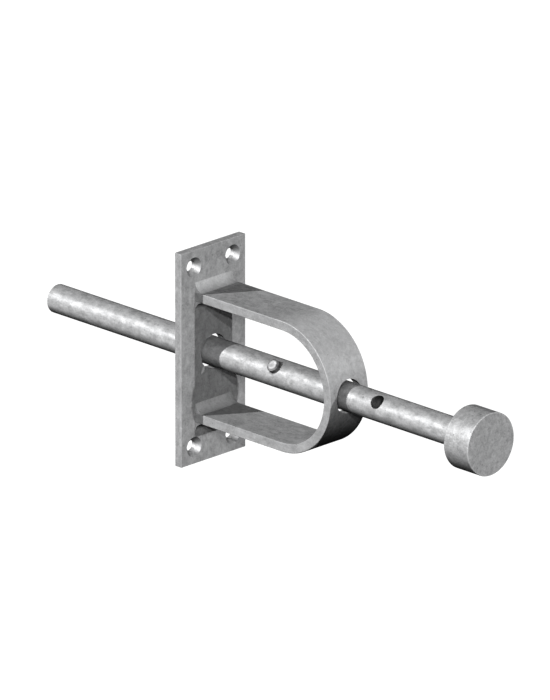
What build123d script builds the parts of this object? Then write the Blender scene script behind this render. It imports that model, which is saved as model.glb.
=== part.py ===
from build123d import *
import math
import os

# Gate shoot bolt of galvanised steel, in millimetres.
# A round bolt slides through a flat back plate and through a strap bent to a U and welded to that plate.
# A cross pin in the bolt stops it at the plate one way and inside the bend the other way.
# X runs along the bolt towards the pull knob, Y across the plate and Z up.
# The origin is on the axis of the guide holes, in the back face of the plate.

# Back plate
PLATE_WIDTH = 60.6
PLATE_HEIGHT = 151.5
PLATE_THICKNESS = 6.0
PLATE_EDGE_RADIUS = 0.3

# Screw holes, one near each corner of the plate
SCREW_HOLE_DIAMETER = 8.0
COUNTERSINK_DIAMETER = 14.0
COUNTERSINK_ANGLE = 90.0
SCREW_HOLE_EDGE_DISTANCE = 12.0

# Guide strap, a flat bar bent to a U
STRAP_WIDTH = 35.5
STRAP_THICKNESS = 6.5
STRAP_EDGE_RADIUS = 0.5
STRAP_OPENING = 79.5
STRAP_PROJECTION = 128.4

# Fillet welds, with legs of one length on both metals and a hollow face
# The face dips below the straight line between its toes by this share of the leg.
STRAP_WELD_LEG = 6.5
KNOB_WELD_LEG = 3.0
WELD_HOLLOW_SHARE = 0.22

# Bolt bar
BAR_DIAMETER = 20.0
BAR_LENGTH = 387.4
BAR_REACH_BEHIND_PLATE = 144.7
BAR_END_CHAMFER = 0.6

# Loose fit of the bar in its two guide holes
# The bar leans on the holes' rims on the plate's far side, this many degrees below level.
GUIDE_CLEARANCE = 2.0
BAR_SEAT_GAP = 0.3
BAR_LEAN_ANGLE = 27.0

# Stop pin across the bar
PIN_DIAMETER = 9.0
PIN_FROM_BAR_END = 214.1
PIN_CHAMFER = 0.9
PIN_STOP_OVERLAP = 1.0
PIN_HOLE_CLEARANCE = 0.02

# Padlock hole across the bar
PADLOCK_HOLE_DIAMETER = 10.0
PADLOCK_HOLE_FROM_KNOB = 76.8

# How far the pin and the padlock hole are turned up from the plate's near side
CROSS_HOLE_ANGLE = 44.0

# Pull knob
KNOB_DIAMETER = 44.0
KNOB_LENGTH = 22.4
KNOB_EDGE_RADIUS = 0.6

# Sizes worked out from the ones above
BAR_RADIUS = BAR_DIAMETER / 2
GUIDE_HOLE_RADIUS = BAR_RADIUS + GUIDE_CLEARANCE
PIN_RADIUS = PIN_DIAMETER / 2
PIN_LENGTH = 2 * (GUIDE_HOLE_RADIUS + PIN_STOP_OVERLAP)
STRAP_INNER_RADIUS = STRAP_OPENING / 2
STRAP_OUTER_RADIUS = STRAP_INNER_RADIUS + STRAP_THICKNESS
STRAP_MIDDLE_RADIUS = STRAP_INNER_RADIUS + STRAP_THICKNESS / 2
STRAP_FLAT_WIDTH = STRAP_WIDTH - 2 * STRAP_EDGE_RADIUS
BEND_CENTRE_X = PLATE_THICKNESS + STRAP_PROJECTION - STRAP_OUTER_RADIUS
BAR_SHIFT = GUIDE_CLEARANCE - BAR_SEAT_GAP
BAR_Y = BAR_SHIFT * math.cos(math.radians(BAR_LEAN_ANGLE))
BAR_Z = -BAR_SHIFT * math.sin(math.radians(BAR_LEAN_ANGLE))
BAR_END_X = -BAR_REACH_BEHIND_PLATE
KNOB_BACK_X = BAR_END_X + BAR_LENGTH
PIN_X = BAR_END_X + PIN_FROM_BAR_END
PADLOCK_HOLE_X = KNOB_BACK_X - PADLOCK_HOLE_FROM_KNOB
SCREW_SPACING_Y = PLATE_WIDTH - 2 * SCREW_HOLE_EDGE_DISTANCE
SCREW_SPACING_Z = PLATE_HEIGHT - 2 * SCREW_HOLE_EDGE_DISTANCE

# The plate's back face, with Y across and Z up, and the same plane centred on the bar.
PLATE_BACK = Plane.YZ
BAR_SECTION = Plane(origin=(0, BAR_Y, BAR_Z), x_dir=(0, 1, 0), z_dir=(1, 0, 0))
BAR_AXIS = Axis(origin=(0, BAR_Y, BAR_Z), direction=(1, 0, 0))


def cross_plane(x):
    """The plane through the bar's axis at x whose normal is the direction of the cross holes."""
    angle = math.radians(CROSS_HOLE_ANGLE)
    normal = (0, -math.cos(angle), math.sin(angle))
    return Plane(origin=(x, BAR_Y, BAR_Z), x_dir=(1, 0, 0), z_dir=normal)


def make_back_plate():
    """Flat plate with rounded edges, a clearance hole for the bolt and four countersunk screw holes."""
    plate = extrude(PLATE_BACK * Rectangle(PLATE_WIDTH, PLATE_HEIGHT), PLATE_THICKNESS)
    plate = fillet(plate.edges(), PLATE_EDGE_RADIUS)
    plate -= extrude(PLATE_BACK * Circle(GUIDE_HOLE_RADIUS), PLATE_THICKNESS)
    screw_hole = CounterSinkHole(
        radius=SCREW_HOLE_DIAMETER / 2,
        counter_sink_radius=COUNTERSINK_DIAMETER / 2,
        depth=PLATE_THICKNESS,
        counter_sink_angle=COUNTERSINK_ANGLE,
    )
    plate_front = PLATE_BACK.offset(PLATE_THICKNESS)
    plate -= plate_front * GridLocations(SCREW_SPACING_Y, SCREW_SPACING_Z, 2, 2) * screw_hole
    return plate


def make_guide_strap():
    """Flat bar with rounded edges, bent round a half circle, with the bolt's hole through the bend."""
    upper_root = (PLATE_THICKNESS, 0, STRAP_MIDDLE_RADIUS)
    upper_tangent = (BEND_CENTRE_X, 0, STRAP_MIDDLE_RADIUS)
    bend_middle = (BEND_CENTRE_X + STRAP_MIDDLE_RADIUS, 0, 0)
    lower_tangent = (BEND_CENTRE_X, 0, -STRAP_MIDDLE_RADIUS)
    lower_root = (PLATE_THICKNESS, 0, -STRAP_MIDDLE_RADIUS)
    path = Wire([
        Edge.make_line(upper_root, upper_tangent),
        Edge.make_three_point_arc(upper_tangent, bend_middle, lower_tangent),
        Edge.make_line(lower_tangent, lower_root),
    ])
    root_plane = Plane(origin=upper_root, x_dir=(0, 1, 0), z_dir=(1, 0, 0))
    section = root_plane * RectangleRounded(STRAP_WIDTH, STRAP_THICKNESS, STRAP_EDGE_RADIUS)
    strap = sweep(section, path=path)
    bend_plane = PLATE_BACK.offset(BEND_CENTRE_X)
    strap -= extrude(bend_plane * Circle(GUIDE_HOLE_RADIUS), STRAP_PROJECTION)
    return strap


def fillet_weld_face(corner, first_side, second_side, leg):
    """Section of a fillet weld: straight on the two metals, with a hollow arc between its toes."""
    root = Vector(*corner)
    first_toe = root + Vector(*first_side) * leg
    second_toe = root + Vector(*second_side) * leg
    to_middle = (first_toe + second_toe) / 2 - root
    throat = to_middle.length - WELD_HOLLOW_SHARE * leg
    arc_middle = root + to_middle.normalized() * throat
    return make_face([
        Edge.make_line(root, first_toe),
        Edge.make_three_point_arc(first_toe, arc_middle, second_toe),
        Edge.make_line(second_toe, root),
    ])


def make_strap_weld(height, side):
    """One weld bead along an arm's root, at this height on the plate and on this side of the arm."""
    profile = fillet_weld_face((PLATE_THICKNESS, 0, height), (0, 0, side), (1, 0, 0), STRAP_WELD_LEG)
    return extrude(profile, STRAP_FLAT_WIDTH / 2, dir=(0, 1, 0), both=True)


def make_bolt_bar():
    """Round bar with a chamfered end, a hole for the stop pin and the padlock hole."""
    bar = extrude(BAR_SECTION.offset(BAR_END_X) * Circle(BAR_RADIUS), BAR_LENGTH)
    far_rim = bar.edges().sort_by(Axis.X)[0]
    bar = chamfer(far_rim, BAR_END_CHAMFER)
    pin_hole = cross_plane(PIN_X) * Circle(PIN_RADIUS + PIN_HOLE_CLEARANCE)
    padlock_hole = cross_plane(PADLOCK_HOLE_X) * Circle(PADLOCK_HOLE_DIAMETER / 2)
    bar -= extrude(pin_hole, BAR_DIAMETER, both=True)
    bar -= extrude(padlock_hole, BAR_DIAMETER, both=True)
    return bar


def make_stop_pin():
    """Cross pin whose chamfered ends stand proud of the bar on both sides."""
    pin = extrude(cross_plane(PIN_X) * Circle(PIN_RADIUS), PIN_LENGTH / 2, both=True)
    return chamfer(pin.edges().filter_by(GeomType.CIRCLE), PIN_CHAMFER)


def make_pull_knob():
    """Solid round knob with rounded rims, butted against the bar's end."""
    knob = extrude(BAR_SECTION.offset(KNOB_BACK_X) * Circle(KNOB_DIAMETER / 2), KNOB_LENGTH)
    return fillet(knob.edges().filter_by(GeomType.CIRCLE), KNOB_EDGE_RADIUS)


def make_knob_weld():
    """Weld ring in the corner between the bar and the back of the knob."""
    bar_top = (KNOB_BACK_X, BAR_Y, BAR_Z + BAR_RADIUS)
    profile = fillet_weld_face(bar_top, (0, 0, 1), (-1, 0, 0), KNOB_WELD_LEG)
    return revolve(profile, BAR_AXIS)


pieces = {
    "back_plate": make_back_plate(),
    "guide_strap": make_guide_strap(),
    "upper_arm_outer_weld": make_strap_weld(STRAP_OUTER_RADIUS, 1),
    "upper_arm_inner_weld": make_strap_weld(STRAP_INNER_RADIUS, -1),
    "lower_arm_inner_weld": make_strap_weld(-STRAP_INNER_RADIUS, 1),
    "lower_arm_outer_weld": make_strap_weld(-STRAP_OUTER_RADIUS, -1),
    "bolt_bar": make_bolt_bar(),
    "stop_pin": make_stop_pin(),
    "pull_knob": make_pull_knob(),
    "knob_weld": make_knob_weld(),
}

os.makedirs("parts", exist_ok=True)
for name, piece in pieces.items():
    export_step(piece, f"parts/{name}.step")
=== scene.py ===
import math

import bpy
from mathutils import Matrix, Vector


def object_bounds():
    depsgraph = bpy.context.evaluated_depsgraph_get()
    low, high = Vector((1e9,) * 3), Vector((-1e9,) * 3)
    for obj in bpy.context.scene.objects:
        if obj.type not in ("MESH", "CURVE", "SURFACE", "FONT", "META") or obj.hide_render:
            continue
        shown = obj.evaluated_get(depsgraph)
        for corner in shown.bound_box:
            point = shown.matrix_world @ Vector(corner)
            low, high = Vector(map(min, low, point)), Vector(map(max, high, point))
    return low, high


# Gate shoot bolt of hot-dip galvanised steel: looks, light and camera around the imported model.
# Sizes and places are in metres, and turns and heights of lamps and camera in degrees.

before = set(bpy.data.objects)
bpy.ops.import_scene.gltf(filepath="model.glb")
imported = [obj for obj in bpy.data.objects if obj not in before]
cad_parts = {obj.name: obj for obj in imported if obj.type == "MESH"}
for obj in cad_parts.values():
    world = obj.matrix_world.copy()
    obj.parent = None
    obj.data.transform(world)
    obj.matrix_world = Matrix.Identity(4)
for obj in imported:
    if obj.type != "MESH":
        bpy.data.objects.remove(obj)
cad_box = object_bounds()

# Camera, as in the photograph. Its lens is so long that the picture has almost no perspective.
# It sees several times as far as the part is, so that the floor isn't cut off.
VIEW_TURN = 45.0
VIEW_HEIGHT = 19.67
PICTURE_CENTRE = Vector((0.0643, 0.0, 0.0153))
PICTURE_TALL = 0.4674
LENS_MM = 1300.0
SENSOR_MM = 36.0
TIMES_AS_FAR = 3.0

# Lamps: the turn and height at which each one stands round the part, and its strength.
# The first four were fitted to the photograph's light and shadows, and the last one lights the back.
LAMPS = {
    "left_lamp": (-33.0, 27.0, 3.62),
    "near_lamp": (30.0, 28.5, 0.95),
    "front_lamp": (57.0, 24.2, 0.58),
    "low_lamp": (90.0, 7.4, 1.5),
    "back_lamp": (232.0, 4.0, 0.8),
}
LAMP_SOFTNESS = 0.4
LAMP_DISTANCE = 2.0
ROOM_LIGHT = 0.01
WHITE = 1.0

# Floor. The camera and reflections see pale paper, and the part is lit by the dim grey one.
FLOOR_BELOW = 0.85
FLOOR_SIZE = 60.0
PAPER_GREY = 0.5
PAPER_GLOW = 0.7
FLOOR_GREY = 0.04

# Places on the part that its finish follows
PLATE_CORNER = (0.006, 0.0303, 0.07575)
SCREW_HOLE_AT = (0.0, 0.0183, 0.06375)
BEND_AT = 0.08815
STRAP_OUTER = 0.04625
BAR_AT = (0.0, 0.001515, -0.000772)
KNOB_RADIUS = 0.022
KNOB_FRONT = 0.2651
PIN_AT = (0.0694, 0.001515, -0.000772)
PADLOCK_AT = (0.1659, 0.001515, -0.000772)
CROSS_WAY = (0.0, -0.71934, 0.69466)

# The axes that a distance is counted along, and the limit that levels the strap's two arms
ACROSS_X = (0.0, 1.0, 1.0)
ACROSS_Y = (1.0, 0.0, 1.0)
NOT_BEHIND_BEND = (0.0, -1.0, -1.0)

# Where each painted highlight or painted shade of the finish starts, and where it is full: places and
# distances
AHEAD_OF_PLATE_BACK = (0.0001, 0.0003)
IN_COUNTERSINK = (0.0073, 0.0066)
ALONG_BEND = (BEND_AT - 0.014, BEND_AT + 0.024)
UP_BEND = (0.0, 0.025)
AT_STRAP_OUTSIDE = (STRAP_OUTER - 0.0005, STRAP_OUTER - 0.0002)
NEAR_STRAP_OUTSIDE = (STRAP_OUTER - 0.0008, STRAP_OUTER - 0.0004)
AT_STRAP_SIDE = (0.0169, 0.0174)
ALONG_WELD = (0.009, 0.0168)
AT_PLATE_OUTLINE = (-0.0007, -0.0003)
AT_PLATE_FRONT = (-0.0010, -0.0004)
ON_PADLOCK_WALL = (0.0053, 0.0050)
ON_PIN_SEAM = (0.0056, 0.0047)
ON_PIN_RIM = (0.0026, 0.0036)
AT_KNOB_FRONT = (KNOB_FRONT - 0.0010, KNOB_FRONT - 0.0004)
ON_KNOB_RIM = (KNOB_RADIUS - 0.0009, KNOB_RADIUS - 0.0004)

# The same for the way that a surface faces, for the painted highlight and painted shade: 1 towards the end
# of an axis, -1 away from it
PAINTED_HIGHLIGHT_LEAST_UP = (-0.30, 0.25)
PAINTED_HIGHLIGHT_MOST_UP = (0.68, 0.36)
AWAY_FROM_LAMPS = (0.24, 0.50)
UNDERSIDE = (0.05, -0.85)
TOP = (0.55, 1.0)

# Noises of the zinc: repeats in a metre, detail and roughness
WANDER = (120.0, 2.0, 0.55)
CLOUD = (95.0, 3.0, 0.5)
MOTTLE = (280.0, 3.0, 0.55)
GRAIN = (900.0, 3.0, 0.6)
RUNS = (420.0, 3.0, 0.5)
PATCHES = (290.0, 3.0, 0.6)
PITTED = (130.0, 1.0, 0.55)
NOISE_MIDDLE = 0.5

# Crystals and pits of the zinc
WANDER_BY = (0.006, 0.006, 0.006)
CRYSTALS_PER_METRE = 210.0
SPECKS_PER_METRE = 330.0
PIT_SIZE = (0.24, 0.10)
PITTED_PLACES = (0.52, 0.62)
PATCH_OUTLINE = (0.38, 0.62)

# How much each layer of the pattern changes the zinc's tone, roughness and height,
# how much smoother a pale patch is, and how strong and deep the relief is
TONE = {"cloud": 0.13, "crystal": 0.03, "mottle": 0.20, "runs": 0.14, "grain": 0.26, "pits": -0.10}
ROUGHNESS = {"mottle": 0.16, "crystal": 0.06, "grain": 0.10}
HEIGHT = {"cloud": 1.3, "mottle": 0.75, "runs": 0.20, "grain": 0.06, "pits": -0.25}
PATCH_GLOSS = 0.5
BUMP_STRENGTH = 0.30
BUMP_DEPTH = 0.0006

# Painted shade: the colour is darker on undersides and a little darker on tops, and undersides are less like
# metal.
UNDERSIDE_PAINTED_SHADE = 0.84
TOP_PAINTED_SHADE = 0.15
UNDERSIDE_METAL_LOSS = 0.8
BLACK = (0.0, 0.0, 0.0, 1)
ZINC_WHITE = (0.995, 1.0, 1.01, 1)


def direction_from(turn, height):
    """The direction from the part towards a viewer at this turn and height."""
    a = math.radians(turn)
    e = math.radians(height)
    return Vector((math.sin(a) * math.cos(e), -math.cos(a) * math.cos(e), math.sin(e)))


def set_camera():
    """Stands the camera where the photograph was taken from."""
    back = direction_from(VIEW_TURN, VIEW_HEIGHT)
    distance = PICTURE_TALL * LENS_MM / SENSOR_MM
    bpy.ops.object.camera_add(location=PICTURE_CENTRE + back * distance)
    camera = bpy.context.object
    camera.name = "photo_camera"
    camera.rotation_euler = (-back).to_track_quat("-Z", "Y").to_euler()
    camera.data.lens = LENS_MM
    camera.data.sensor_width = SENSOR_MM
    camera.data.clip_end = TIMES_AS_FAR * distance
    bpy.context.scene.camera = camera


def add_lamp(name, turn, height, power):
    """Adds a lamp whose light comes from this turn and height."""
    towards = direction_from(turn, height)
    bpy.ops.object.light_add(type="SUN", location=towards * LAMP_DISTANCE)
    lamp = bpy.context.object
    lamp.name = name
    lamp.rotation_euler = (-towards).to_track_quat("-Z", "Y").to_euler()
    lamp.data.energy = power
    lamp.data.angle = math.radians(LAMP_SOFTNESS)


class Value:
    """An output socket of a node. Sums written with it add Math nodes."""

    def __init__(self, nodes, socket):
        self.nodes = nodes
        self.socket = socket

    def __add__(self, other):
        return self.nodes.maths("ADD", self, other)

    def __radd__(self, other):
        return self.nodes.maths("ADD", other, self)

    def __sub__(self, other):
        return self.nodes.maths("SUBTRACT", self, other)

    def __rsub__(self, other):
        return self.nodes.maths("SUBTRACT", other, self)

    def __mul__(self, other):
        return self.nodes.maths("MULTIPLY", self, other)

    def __rmul__(self, other):
        return self.nodes.maths("MULTIPLY", other, self)


class Nodes:
    """The nodes of a material or of the world, built up from none."""

    def __init__(self, owner):
        owner.use_nodes = True
        self.tree = owner.node_tree
        self.tree.nodes.clear()

    def node(self, kind, settings=None, sockets=None, output=0):
        """Adds a node, makes its settings, fills or links its sockets and gives one of its outputs."""
        made = self.tree.nodes.new(kind)
        for name, setting in (settings or {}).items():
            setattr(made, name, setting)
        for name, given in (sockets or {}).items():
            if isinstance(given, Value):
                self.tree.links.new(given.socket, made.inputs[name])
            else:
                made.inputs[name].default_value = given
        return Value(self, made.outputs[output]) if made.outputs else None

    def maths(self, operation, first, second):
        """A Math node on two values."""
        return self.node("ShaderNodeMath", {"operation": operation}, {0: first, 1: second})

    def vectors(self, operation, *given, output=0):
        """A Vector Math node."""
        return self.node("ShaderNodeVectorMath", {"operation": operation}, dict(enumerate(given)), output)

    def part_of(self, vector, axis):
        """A vector's part along X, Y or Z."""
        return self.node("ShaderNodeSeparateXYZ", None, {"Vector": vector}, axis)

    def ramp(self, value, span):
        """Goes smoothly from 0 at the start of the span to 1 at its end."""
        start, end = span
        return self.node(
            "ShaderNodeMapRange", {"interpolation_type": "SMOOTHSTEP"},
            {"Value": value, "From Min": start, "From Max": end},
        )

    def noise(self, place, kind, output=0):
        """One of the noises above, at this place on the piece."""
        per_metre, detail, rough = kind
        return self.node(
            "ShaderNodeTexNoise", None,
            {"Vector": place, "Scale": per_metre, "Detail": detail, "Roughness": rough}, output,
        )

    def cells(self, place, per_metre, output):
        """Cells round scattered points: the colour of each, or the distance from its point."""
        sockets = {"Vector": place, "Scale": per_metre}
        return self.node("ShaderNodeTexVoronoi", {"feature": "F1"}, sockets, output)

    def facing(self, axis):
        """1 where the surface faces along this axis, 0 where it lies along it and -1 where it faces back."""
        return self.part_of(self.node("ShaderNodeNewGeometry", output="Normal"), axis)

    def length(self, offset):
        """A vector's length."""
        return self.vectors("LENGTH", offset, output="Value")

    def distance_from_axis(self, place, axis_at):
        """Distance from a line along X."""
        off = self.vectors("SUBTRACT", place, axis_at)
        return self.length(self.vectors("MULTIPLY", off, ACROSS_X))

    def distance_from_cross_hole(self, place, middle):
        """Distance from the axis of a hole that crosses the bar at its middle."""
        off = self.vectors("SUBTRACT", place, middle)
        return self.length(self.vectors("CROSS_PRODUCT", off, CROSS_WAY))

    def strap_height(self, place):
        """Distance from the line that the strap is bent round, held level along the arms."""
        off = self.vectors("SUBTRACT", place, (BEND_AT, 0.0, 0.0))
        off = self.vectors("MAXIMUM", off, NOT_BEHIND_BEND)
        return self.length(self.vectors("MULTIPLY", off, ACROSS_Y))


def weighted(layers, weights):
    """The sum of the layers, each multiplied by its weight."""
    return sum(weight * layers[name] for name, weight in weights.items())


def galvanised(name, grey, metal, gloss, run_along, relief=1.0, patchy=0.0, painted_light_touches=()):
    """Hot-dip zinc: crystals, clouds, runs where it drained, fine grain and small pits.

    A touch is painted light or shade: a place on the piece, how much paler it is there and how much more
    like metal."""
    material = bpy.data.materials.new(name)
    nodes = Nodes(material)
    place = nodes.node("ShaderNodeTexCoord", output="Object")
    wandering = nodes.vectors("MULTIPLY_ADD", nodes.noise(place, WANDER, "Color"), WANDER_BY, place)
    along_runs = nodes.node("ShaderNodeMapping", None, {"Vector": place, "Scale": run_along})
    crystal = nodes.cells(wandering, CRYSTALS_PER_METRE, "Color")
    speck = nodes.cells(place, SPECKS_PER_METRE, "Distance")
    layers = {
        "cloud": nodes.noise(place, CLOUD) - NOISE_MIDDLE,
        "crystal": nodes.node("ShaderNodeSeparateColor", None, {"Color": crystal}) - NOISE_MIDDLE,
        "mottle": nodes.noise(wandering, MOTTLE) - NOISE_MIDDLE,
        "runs": nodes.noise(along_runs, RUNS) - NOISE_MIDDLE,
        "grain": nodes.noise(place, GRAIN) - NOISE_MIDDLE,
        "pits": nodes.ramp(speck, PIT_SIZE) * nodes.ramp(nodes.noise(place, PITTED), PITTED_PLACES),
    }
    tone = grey + weighted(layers, TONE)
    rough = gloss + weighted(layers, ROUGHNESS)
    metallic = metal
    if patchy:
        patches = nodes.ramp(nodes.noise(along_runs, PATCHES), PATCH_OUTLINE) - NOISE_MIDDLE
        tone = tone + patchy * patches
        rough = rough - PATCH_GLOSS * patchy * patches
    # Painted highlights and painted shade, one touch after another.
    for where, paler, shinier in painted_light_touches:
        amount = where(nodes, place)
        tone = tone + paler * amount
        metallic = metallic + shinier * amount
    # Painted shade: undersides darker and less like metal, tops a little darker.
    faces_up = nodes.facing("Z")
    underside = nodes.ramp(faces_up, UNDERSIDE)
    tone = tone * (1.0 - UNDERSIDE_PAINTED_SHADE * underside - TOP_PAINTED_SHADE * nodes.ramp(faces_up, TOP))
    metallic = metallic * (1.0 - UNDERSIDE_METAL_LOSS * underside)
    colour = nodes.node(
        "ShaderNodeMix", {"data_type": "RGBA", "clamp_factor": True},
        {0: tone, 6: BLACK, 7: ZINC_WHITE}, 2,
    )
    bump = nodes.node(
        "ShaderNodeBump", None,
        {"Height": weighted(layers, HEIGHT), "Strength": BUMP_STRENGTH * relief, "Distance": BUMP_DEPTH},
    )
    shader = nodes.node(
        "ShaderNodeBsdfPrincipled", None,
        {
            "Base Color": colour, "Roughness": rough, "Metallic": metallic, "Normal": bump,
            "Specular IOR Level": 0.0, "Specular Tint": BLACK,
        },
    )
    nodes.node("ShaderNodeOutputMaterial", None, {"Surface": shader})
    return material


def in_countersink(nodes, place):
    """The plate's four countersunk cones."""
    in_front = nodes.ramp(nodes.part_of(place, "X"), AHEAD_OF_PLATE_BACK)
    from_axis = nodes.distance_from_axis(nodes.vectors("ABSOLUTE", place), SCREW_HOLE_AT)
    return in_front * nodes.ramp(from_axis, IN_COUNTERSINK)


def countersink_painted_highlight(nodes, place):
    """Painted highlight on the part of each cone that faces a little up."""
    faces_up = nodes.facing("Z")
    painted_glint = nodes.ramp(faces_up, PAINTED_HIGHLIGHT_LEAST_UP) * nodes.ramp(faces_up, PAINTED_HIGHLIGHT_MOST_UP)
    return in_countersink(nodes, place) * painted_glint


def countersink_painted_shade(nodes, place):
    """Painted shade on the part of each cone that faces away from the lamps."""
    return in_countersink(nodes, place) * nodes.ramp(nodes.facing("Y"), AWAY_FROM_LAMPS)


def plate_edge_highlight(nodes, place):
    """Painted highlight along the edges of the plate's front face."""
    beyond = nodes.vectors("SUBTRACT", nodes.vectors("ABSOLUTE", place), PLATE_CORNER)
    outermost = nodes.maths("MAXIMUM", nodes.part_of(beyond, "Y"), nodes.part_of(beyond, "Z"))
    in_front = nodes.ramp(nodes.part_of(beyond, "X"), AT_PLATE_FRONT)
    return nodes.ramp(outermost, AT_PLATE_OUTLINE) * in_front


def bend_painted_light(nodes, place):
    """Painted light on the upper half of the bend's outer face."""
    along = nodes.ramp(nodes.part_of(place, "X"), ALONG_BEND)
    upper = nodes.ramp(nodes.part_of(place, "Z"), UP_BEND)
    return along * upper * nodes.ramp(nodes.strap_height(place), AT_STRAP_OUTSIDE)


def strap_edge_highlight(nodes, place):
    """Painted highlight along the strap's outer edges, along its two arms and round its bend."""
    outside = nodes.ramp(nodes.strap_height(place), NEAR_STRAP_OUTSIDE)
    return outside * nodes.ramp(nodes.part_of(nodes.vectors("ABSOLUTE", place), "Y"), AT_STRAP_SIDE)


def weld_end_shade(nodes, place):
    """Painted shade at the far end of each weld, where the bead runs out."""
    return nodes.ramp(nodes.part_of(place, "Y"), ALONG_WELD)


def padlock_hole_shade(nodes, place):
    """Painted shade on the wall of the padlock hole."""
    return nodes.ramp(nodes.distance_from_cross_hole(place, PADLOCK_AT), ON_PADLOCK_WALL)


def pin_seam_and_shade(nodes, place):
    """The seam in the bar round the stop pin, darker both as a dark joint and as painted shade of the pin on
    the bar.
    """
    return nodes.ramp(nodes.distance_from_cross_hole(place, PIN_AT), ON_PIN_SEAM)


def pin_rim_shade(nodes, place):
    """Painted shade on the pin outside the flat middle of its ends."""
    return nodes.ramp(nodes.distance_from_cross_hole(place, PIN_AT), ON_PIN_RIM)


def knob_rim_highlight(nodes, place):
    """Painted highlight on the rim of the knob's front face."""
    radius = nodes.distance_from_axis(place, BAR_AT)
    return nodes.ramp(radius, ON_KNOB_RIM) * nodes.ramp(nodes.part_of(place, "X"), AT_KNOB_FRONT)


def plain_grey(value):
    """The colour with this value in red, green and blue."""
    return (value, value, value, 1)


def white_where_seen(nodes, shown, lit):
    """Mixes two shaders: shown is met by the camera and by reflections, lit by all other rays."""
    camera = nodes.node("ShaderNodeLightPath", output="Is Camera Ray")
    glossy = nodes.node("ShaderNodeLightPath", output="Is Glossy Ray")
    through = nodes.node("ShaderNodeLightPath", output="Is Transmission Ray")
    seen = nodes.maths("MAXIMUM", nodes.maths("MAXIMUM", camera, glossy), through)
    return nodes.node("ShaderNodeMixShader", None, {0: seen, 1: lit, 2: shown})


def light_room():
    """The world: white where it is seen, and very dim as light on the part."""
    world = bpy.data.worlds.new("studio")
    nodes = Nodes(world)
    shown = nodes.node("ShaderNodeBackground", None, {"Color": plain_grey(1.0), "Strength": WHITE})
    lit = nodes.node("ShaderNodeBackground", None, {"Color": plain_grey(1.0), "Strength": ROOM_LIGHT})
    nodes.node("ShaderNodeOutputWorld", None, {"Surface": white_where_seen(nodes, shown, lit)})
    bpy.context.scene.world = world


def lay_floor():
    """A wide floor of pale paper below the part."""
    lowest = cad_box[0].z - FLOOR_BELOW
    bpy.ops.mesh.primitive_plane_add(size=FLOOR_SIZE, location=(0, 0, lowest))
    floor = bpy.context.object
    floor.name = "floor"
    material = bpy.data.materials.new("floor_paper")
    nodes = Nodes(material)
    glow = nodes.node("ShaderNodeEmission", None, {"Strength": PAPER_GLOW})
    paper = nodes.node("ShaderNodeBsdfDiffuse", None, {"Color": plain_grey(PAPER_GREY)})
    shown = nodes.node("ShaderNodeAddShader", None, {0: glow, 1: paper})
    lit = nodes.node("ShaderNodeBsdfDiffuse", None, {"Color": plain_grey(FLOOR_GREY)})
    nodes.node("ShaderNodeOutputMaterial", None, {"Surface": white_where_seen(nodes, shown, lit)})
    floor.data.materials.append(material)


def dress(node, material):
    """Gives a CAD node its finish, in the slot of its object."""
    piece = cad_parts[node]
    piece.material_slots[0].link = "OBJECT"
    piece.material_slots[0].material = material


bpy.ops.object.select_all(action="DESELECT")
set_camera()
for lamp_name, stand in LAMPS.items():
    add_lamp(lamp_name, *stand)
light_room()
lay_floor()

# The touches of each finish are painted highlights and painted shade.
dress("back_plate", galvanised(
    "plate_zinc", grey=0.345, metal=0.05, gloss=0.42, run_along=(1, 1, 0.4), patchy=0.035,
    painted_light_touches=[(countersink_painted_highlight, 0.34, 0.20), (countersink_painted_shade, -0.30, 0.0), (plate_edge_highlight, 0.07, 0.05)],
))
dress("guide_strap", galvanised(
    "strap_zinc", grey=0.34, metal=0.05, gloss=0.42, run_along=(0.3, 1, 1), patchy=0.03,
    painted_light_touches=[(bend_painted_light, 0.205, 0.0), (strap_edge_highlight, 0.035, 0.03)],
))
weld_zinc = galvanised(
    "weld_zinc", grey=0.50, metal=0.08, gloss=0.42, run_along=(1, 1, 0.3), painted_light_touches=[(weld_end_shade, -0.13, 0.0)],
)
for weld in ("upper_arm_outer_weld", "upper_arm_inner_weld", "lower_arm_inner_weld", "lower_arm_outer_weld"):
    dress(weld, weld_zinc)
dress("bolt_bar", galvanised(
    "bar_zinc", grey=0.365, metal=0.40, gloss=0.55, run_along=(0.4, 1, 1), relief=1.8, patchy=0.08,
    painted_light_touches=[(padlock_hole_shade, -0.20, -0.3), (pin_seam_and_shade, -0.20, -0.35)],
))
dress("knob_weld", galvanised(
    "knob_weld_zinc", grey=0.365, metal=0.40, gloss=0.55, run_along=(0.4, 1, 1), relief=1.8, patchy=0.08,
))
dress("stop_pin", galvanised(
    "pin_zinc", grey=0.46, metal=0.33, gloss=0.47, run_along=(1, 1, 1), relief=2.5, patchy=0.20,
    painted_light_touches=[(pin_rim_shade, -0.25, -0.28)],
))
dress("pull_knob", galvanised(
    "knob_zinc", grey=0.335, metal=0.39, gloss=0.54, run_along=(1, 1, 1), relief=2.2, patchy=0.035,
    painted_light_touches=[(knob_rim_highlight, 0.12, 0.15)],
))

bpy.context.scene.view_settings.view_transform = "Standard"
